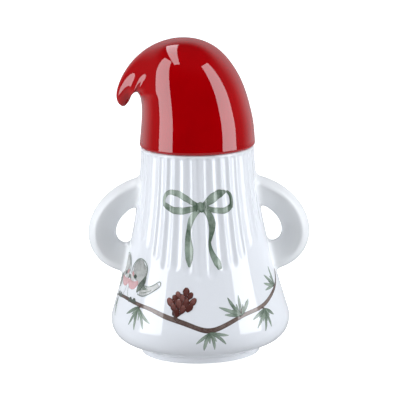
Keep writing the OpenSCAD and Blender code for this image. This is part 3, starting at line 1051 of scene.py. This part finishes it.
class GNOME_OT_branch(bpy.types.Operator):
    """Paints the pine branch and its needles round the skirt"""
    bl_idname = "gnome.paint_branch"
    bl_label = "Branch"

    # Root of each spray of needles, then its tips
    SPRAYS = (
        ((-47, 22.2), (-58, 18.6), (-53.5, 15), (-47.5, 13.6), (-40, 14.6), (-35, 17)),
        ((6, 14.8), (-3, 10.6), (2, 7.8), (9, 8), (16.2, 10), (17.8, 13.4)),
        ((28.5, 20), (12.8, 23.6), (16.5, 20.8), (19.6, 26.8), (28, 27.2), (35.6, 25.4)),
        ((48.5, 20.6), (36.6, 17.7), (39, 14.4), (45.6, 12.6), (51.5, 13.6), (56.5, 17.6)),
        ((68.5, 27.4), (54, 26.8), (54, 29.4), (56.5, 32.2), (66, 34.6)),
        ((-79, 22.6), (-81, 18.6), (-75, 15.8)),
    )

    def execute(self, context):
        decor = context.scene.gnome_decor
        wall = Wall(context.scene.gnome_body)
        bark = Film(wall, decor)
        bark.stroke([(-86, 22.6), (-72, 23.8), (-60, 23.8), (-47, 23), (-35, 22), (-24, 20.2),
                     (-12, 18.4), (-3, 16.6), (5, 15.5), (14, 16.6), (26, 19.2), (36, 20.6),
                     (46, 21.6), (56, 23.6), (65, 25.8), (73, 28.2), (80, 31.8), (83, 34)],
                    [0.7, 1.3, 1.5, 1.5, 1.6, 2.0, 2.0, 1.9, 2.1, 1.8, 1.6, 1.6, 1.6, 1.5, 1.4,
                     1.1, 0.8, 0.3],
                    [0.8, 0.7, 0.8, 0.6, 0.3, 0.5, 0.7, 0.7, 0.85, 0.6, 0.5, 0.3, 0.25, 0.4, 0.7,
                     0.8, 0.7, 0.6])
        for spine, width in (
                ([(-14, 18.8), (-17, 20.2), (-16.5, 21.8)], 1.5),
                ([(2, 15.8), (7, 14.6), (10, 14)], 1.0),
                ([(27, 19.6), (28.6, 21.2), (28.8, 22.4)], 0.9),
                ([(-44, 22.8), (-47, 21.6), (-48, 20.4)], 0.9),
                ([(46, 21.4), (48.6, 20.4), (49, 19.4)], 0.9),
                ([(66, 26.2), (67.5, 27.6), (66.5, 28.6)], 0.7)):
            bark.stroke(spine, [width, width * 0.8, width * 0.3], [0.7, 0.8, 0.6], 1)
        bark.finish("painted_branch", watercolour("bark_brown", decor.twig, decor.bark),
                    "brown_decor")
        needles = Film(wall, decor)
        dice = random.Random(5)
        for root, *tips in self.SPRAYS:
            for tip in tips:
                self.needle(needles, dice, root, tip, dice.uniform(0.9, 1.1))
            for tip, other in zip(tips, tips[1:]):
                between = [root[i] * 0.4 + (tip[i] + other[i]) * 0.3 for i in (0, 1)]
                self.needle(needles, dice, root, between, 0.7)
        needles.finish("painted_needles",
                       watercolour("needle_green", decor.sage, decor.pine, 0.9, 0.2),
                       "green_decor")
        return {"FINISHED"}

    def needle(self, film, dice, root, tip, full):
        """One needle: thin at its root, full two thirds of the way out, pointed at its tip."""
        bend = dice.uniform(-0.6, 0.6)
        middle = ((root[0] + tip[0]) / 2 + bend * 1.5, (root[1] + tip[1]) / 2 + bend * 0.5)
        film.stroke([root, middle, tip], [0.5, 1.15 * full, 1.35 * full, 1.15 * full, 0.3],
                    [dice.uniform(0.6, 0.95), dice.uniform(0.2, 0.6), dice.uniform(0.05, 0.5)],
                    dice.uniform(0, 1.5))


class GNOME_OT_cone(bpy.types.Operator):
    """Paints the pine cone that stands on the branch"""
    bl_idname = "gnome.paint_cone"
    bl_label = "Cone"

    MIDDLE = -13.5        # degrees
    FOOT = 20.8           # millimetres
    MM_PER_DEGREE = 0.535
    # Scales: how far across and up from the foot, in millimetres, size and tone
    SCALES = (
        (1.9, 8.6, 1.15, 0.45), (-1.1, 7.4, 0.95, 0.2), (3.5, 7.2, 0.9, 0.6),
        (-2.2, 6.0, 1.0, 0.5), (0.5, 6.2, 1.05, 0.3), (4.4, 4.9, 1.05, 0.35),
        (-3.9, 4.6, 1.15, 0.05), (1.9, 4.6, 1.2, 0.5), (-0.7, 4.3, 1.2, 0.25),
        (3.3, 3.0, 1.05, 0.65), (-2.6, 2.9, 1.05, 0.4), (0.8, 2.4, 1.1, 0.35),
        (-1.4, 1.2, 1.0, 0.7),
    )

    def place(self, across, up):
        return self.MIDDLE + across / self.MM_PER_DEGREE, self.FOOT + up

    def execute(self, context):
        decor = context.scene.gnome_decor
        wall = Wall(context.scene.gnome_body)
        core = Film(wall, decor)
        core.stroke([self.place(-2.2, -0.4), self.place(-0.8, 2.4), self.place(0.4, 5.0),
                     self.place(1.4, 7.6)], [2.3, 4.6, 6.6, 5.6, 2.6], 0.95)
        core.finish("painted_cone_core", watercolour("cone_shadow", decor.scale, decor.cone),
                    "brown_decor")
        scales = Film(wall, decor)
        for number, (across, up, size, tone) in enumerate(self.SCALES):
            lean = (across - 0.3 * up + 1.2) * 0.30
            scales.stroke([self.place(across - lean, up - 1.5 * size),
                           self.place(across, up - 0.1),
                           self.place(across + lean, up + 1.35 * size)],
                          [0.9, 1.9 * size, 2.5 * size, 2.1 * size, 0.9],
                          [0.95, tone + 0.25, tone], 1 + 0.25 * number)
        scales.finish("painted_cone_scales",
                      watercolour("cone_brown", decor.scale, decor.cone, 1.0, 0.55),
                      "brown_decor")
        return {"FINISHED"}


class GNOME_OT_birds(bpy.types.Operator):
    """Paints two small round birds that face each other on the branch"""
    bl_idname = "gnome.paint_birds"
    bl_label = "Birds"

    # Perch in degrees and millimetres, and the way that the tail points
    BIRDS = (((-54, 23.8), 1), ((-76.5, 23.9), -1))
    MM_PER_DEGREE = 0.505

    def execute(self, context):
        decor = context.scene.gnome_decor
        wall = Wall(context.scene.gnome_body)
        plumage, rose, ink = (Film(wall, decor) for _ in range(3))
        for perch, way in self.BIRDS:
            def at(*places):
                return [(perch[0] + way * x / self.MM_PER_DEGREE, perch[1] + y)
                        for x, y in places]
            # Face, crown and back, wing and tail
            plumage.stroke(at((-3.4, 6.0), (-3.2, 8.4), (-2.4, 10.4)), [2.6, 3.6, 3.0], 0.0)
            plumage.stroke(at((2.6, 5.6), (2.0, 8.4), (0.3, 11.6), (0.1, 15.1)),
                           [3.2, 5.2, 8.2, 8.6, 3.4], [0.2, 0.3, 0.35, 0.55], 1)
            plumage.stroke(at((2.6, 4.0), (5.2, 4.2), (8.0, 5.2)), [3.0, 3.0, 1.4],
                           [0.3, 0.05, 0.2], 1)
            plumage.stroke(at((5.6, 5.0), (8.6, 5.8), (11.0, 7.4)), [2.0, 2.0, 1.5],
                           [0.2, 0.05, 0.2], 2)
            rose.stroke(at((-5.6, 6.9), (-3.6, 5.4), (-1.2, 5.5), (1.0, 7.0)),
                        [1.8, 3.4, 3.2, 1.4], [0.3, 0.8, 0.6, 0.1], 2)
            rose.stroke(at((-4.4, 9.6), (-3.6, 9.4), (-2.8, 8.4)), [1.0, 1.6, 1.2], 0.1, 2)
            # Outlines
            for line, width in (
                    (((-4.9, 9.2), (-4.6, 11.9), (-2.6, 14.4), (0.4, 15.4), (3.5, 14.2),
                      (4.9, 11.4), (4.2, 8.0)), 0.45),
                    (((-4.6, 4.6), (-4.7, 2.8), (-3.2, 0.6), (-0.8, 0.0)), 0.22),
                    (((1.6, 2.8), (4.4, 2.4), (7.4, 3.6), (11.2, 6.2)), 0.42),
                    (((4.2, 6.2), (7.0, 6.2), (9.4, 7.2), (11.4, 8.4), (12.0, 7.4), (11.2, 6.2)),
                     0.42),
                    (((3.4, 3.4), (6.0, 4.0), (8.4, 5.2)), 0.3),
                    (((1.8, 3.8), (3.6, 4.6), (6.4, 5.2)), 0.3)):
                ink.stroke(at(*line), width, 0.5, 3)
            # Dark wing patch, eye, beak and feet
            ink.stroke(at((4.6, 9.6), (3.8, 7.4), (2.2, 5.2), (1.2, 3.2)), [0.8, 2.4, 2.6, 0.6],
                       [0.6, 0.8, 0.6, 0.4], 3)
            ink.stroke(at((2.8, 6.6), (4.6, 5.4), (6.6, 5.0)), [1.7, 1.3, 0.3], [0.6, 0.5, 0.3], 3)
            ink.stroke(at((-2.5, 8.4), (-1.5, 8.6), (-0.5, 8.4)), [0.9, 1.8, 0.9], 1.6, 4)
            ink.stroke(at((-4.9, 8.3), (-5.8, 7.9), (-6.8, 7.2)), [1.3, 1.0, 0.3], 0.6, 4)
            for foot in (-1.6, 0.6):
                for toe in (-0.9, 0.1, 1.1):
                    ink.stroke(at((foot, 1.0), (foot + toe * 0.6, 0.2), (foot + toe, -0.9)),
                               [0.6, 0.8, 0.5], 0.8, 3)
        plumage.finish("painted_plumage",
                       watercolour("plume_grey", decor.plume, decor.ink, 0.75, 0.12),
                       "grey_decor")
        rose.finish("painted_cheeks", watercolour("cheek_rose", decor.rose, decor.rose, 0.6, 0.1),
                    "rose_decor")
        ink.finish("painted_bird_lines", watercolour("bird_ink", decor.sage, decor.ink),
                   "green_decor")
        return {"FINISHED"}


# ---- Stage ------------------------------------------------------------------------------

class GNOME_OT_stage(bpy.types.Operator):
    """Makes the floor, the backdrop, the lights and the camera"""
    bl_idname = "gnome.make_stage"
    bl_label = "Stage"

    FLOOR_RADIUS = 4.0
    BOX_DISTANCE = 2.0
    AIM_HEIGHT = 0.06     # height on the object that the softboxes are measured from
    FILL_SIZE = (1.6, 1.6)
    STRIP_PLACE = (-0.38, 0.05, 1.12)
    STRIP_SIZE = (1.80, 0.34)

    def floor(self, stage):
        def inputs(nodes):
            mottle = nodes.noise(3.0, 2.0)
            return {"Base Color": nodes.mix(mottle * 0.1, stage.floor, (0.9, 0.9, 0.9)),
                    "Roughness": 0.9, "Emission Color": (1, 1, 1),
                    "Emission Strength": stage.floor_glow}
        mesh = bpy.data.meshes.new("floor")
        tidy = bmesh.new()
        bmesh.ops.create_circle(tidy, cap_ends=True, radius=self.FLOOR_RADIUS, segments=96)
        tidy.to_mesh(mesh)
        tidy.free()
        floor = bpy.data.objects.new("floor", mesh)
        mesh.materials.append(surface_material("floor_paper", inputs))
        bpy.context.scene.collection.objects.link(floor)
        floor.visible_diffuse = False
        floor.visible_glossy = False
        floor.visible_shadow = False

    def backdrop(self):
        def inputs(nodes):
            return {"Base Color": (0, 0, 0), "Roughness": 1.0,
                    "Emission Color": (1, 1, 1), "Emission Strength": 1.0}
        mesh = bpy.data.meshes.new("backdrop")
        tidy = bmesh.new()
        bmesh.ops.create_uvsphere(tidy, u_segments=48, v_segments=24, radius=self.FLOOR_RADIUS)
        tidy.to_mesh(mesh)
        tidy.free()
        backdrop = bpy.data.objects.new("backdrop", mesh)
        mesh.materials.append(surface_material("backdrop_white", inputs))
        bpy.context.scene.collection.objects.link(backdrop)
        backdrop.visible_diffuse = False
        backdrop.visible_glossy = False
        backdrop.visible_transmission = False
        backdrop.visible_shadow = False

    def surround(self, stage):
        """A pale tent that darkens towards the camera's side."""
        world = bpy.data.worlds.new("studio_tent")
        bpy.context.scene.world = world
        nodes = Nodes(world)
        way = nodes.node("ShaderNodeTexCoord", out="Generated")
        split = nodes.node("ShaderNodeSeparateXYZ", None, {0: way})
        front = Value(nodes, split.socket.node.outputs["Y"]) * -1.0
        up = Value(nodes, split.socket.node.outputs["Z"])
        flat = (1.0 - up * up).highest(0.001) ** 0.5
        facing = front / flat
        side = stage.side_light
        level = side + (1.0 - facing.ramp(-1.0, -0.2)) * (stage.back_light - side)
        level = level * (1.0 - facing.ramp(0.1, 0.6))
        level = level + up.ramp(0.45, 0.8) * (stage.top_light - level)
        level = level + (up * -1.0).ramp(0.1, 0.5) * (stage.table_light - level)
        shade = nodes.node("ShaderNodeBackground", None, {"Color": stage.light,
                                                          "Strength": level})
        nodes.node("ShaderNodeOutputWorld", None, {"Surface": shade})

    def softboxes(self, stage):
        """Two tall softboxes, one on either side."""
        middle = (stage.box_near + stage.box_far) / 2
        width = 2 * self.BOX_DISTANCE * math.tan((stage.box_far - stage.box_near) / 2)
        low = self.BOX_DISTANCE * math.tan(stage.box_low)
        high = self.BOX_DISTANCE * math.tan(stage.box_high)
        for side, name in ((-1, "softbox_left"), (1, "softbox_right")):
            around = side * middle
            facing = Vector((self.BOX_DISTANCE * math.sin(around),
                             -self.BOX_DISTANCE * math.cos(around), 0))
            place = facing + Vector((0, 0, (low + high) / 2 + self.AIM_HEIGHT))
            self.area(name, place, (width, high - low), stage.box_light, facing)

    def area(self, name, place, size, strength, facing=None):
        """An area light that faces the object, or that is turned as if it stood at facing."""
        lamp = bpy.data.lights.new(name, "AREA")
        lamp.shape = "RECTANGLE"
        lamp.color = bpy.context.scene.gnome_stage.light
        lamp.size, lamp.size_y = size
        lamp.energy = strength * math.pi * lamp.size * lamp.size_y
        light = bpy.data.objects.new(name, lamp)
        bpy.context.scene.collection.objects.link(light)
        light.location = place
        light.rotation_euler = Vector(facing or place).to_track_quat("Z", "Y").to_euler()
        light.visible_camera = False
        return light

    def fills(self, stage):
        """Large soft lights in front and at the sides that leave no reflection, and a
        strip light overhead that leaves only a reflection."""
        reach = self.BOX_DISTANCE
        for name, place, strength in (
                ("front_fill", (0, -reach, 0.5), stage.fill_light),
                ("left_fill", (-reach, -0.2, 0.5), stage.side_fill),
                ("right_fill", (reach, -0.2, 0.5), stage.side_fill),
                ("top_fill", (0, -0.1, reach), stage.top_fill),
                ("low_fill", (0, -1.7, -1.1), stage.low_fill)):
            light = self.area(name, place, self.FILL_SIZE, strength)
            light.visible_glossy = False
        strip = self.area("overhead_strip", self.STRIP_PLACE, self.STRIP_SIZE, stage.box_light)
        strip.visible_diffuse = False

    def camera(self, stage):
        data = bpy.data.cameras.new("camera")
        data.lens = stage.camera_lens
        data.sensor_width = 36.0
        camera = bpy.data.objects.new("camera", data)
        bpy.context.scene.collection.objects.link(camera)
        turn = (Matrix.Rotation(-stage.camera_yaw, 4, "Z")
                @ Matrix.Rotation(math.pi / 2 - stage.camera_pitch, 4, "X")
                @ Matrix.Rotation(-stage.camera_roll, 4, "Z"))
        place = Matrix.Translation((0, -stage.camera_distance, stage.camera_height))
        camera.matrix_world = place @ turn
        bpy.context.scene.camera = camera

    def execute(self, context):
        stage = context.scene.gnome_stage
        self.floor(stage)
        self.backdrop()
        self.surround(stage)
        self.softboxes(stage)
        self.fills(stage)
        self.camera(stage)
        context.scene.view_settings.view_transform = "Standard"
        return {"FINISHED"}


# ---- Panel and registration -------------------------------------------------------------

STEPS = (GNOME_OT_body, GNOME_OT_arms, GNOME_OT_hat, GNOME_OT_bow, GNOME_OT_branch,
         GNOME_OT_cone, GNOME_OT_birds, GNOME_OT_stage)


class GNOME_PT_panel(bpy.types.Panel):
    """Lists the steps that build the jar"""
    bl_idname = "GNOME_PT_panel"
    bl_label = "Gnome Jar"
    bl_space_type = "VIEW_3D"
    bl_region_type = "UI"
    bl_category = "Gnome Jar"

    def draw(self, context):
        for step in STEPS:
            self.layout.operator(step.bl_idname)


SETTINGS = {
    "gnome_body": GnomeBodySettings,
    "gnome_arms": GnomeArmSettings,
    "gnome_hat": GnomeHatSettings,
    "gnome_decor": GnomeDecorSettings,
    "gnome_stage": GnomeStageSettings,
}


def register():
    for kind in (*SETTINGS.values(), *STEPS, GNOME_PT_panel):
        bpy.utils.register_class(kind)
    for name, kind in SETTINGS.items():
        setattr(bpy.types.Scene, name, PointerProperty(type=kind))


def unregister():
    for name in SETTINGS:
        delattr(bpy.types.Scene, name)
    for kind in (GNOME_PT_panel, *STEPS[::-1], *SETTINGS.values()):
        bpy.utils.unregister_class(kind)


def main():
    register()
    for step in STEPS:
        group, call = step.bl_idname.split(".")
        getattr(getattr(bpy.ops, group), call)()


if __name__ == "__main__":
    main()
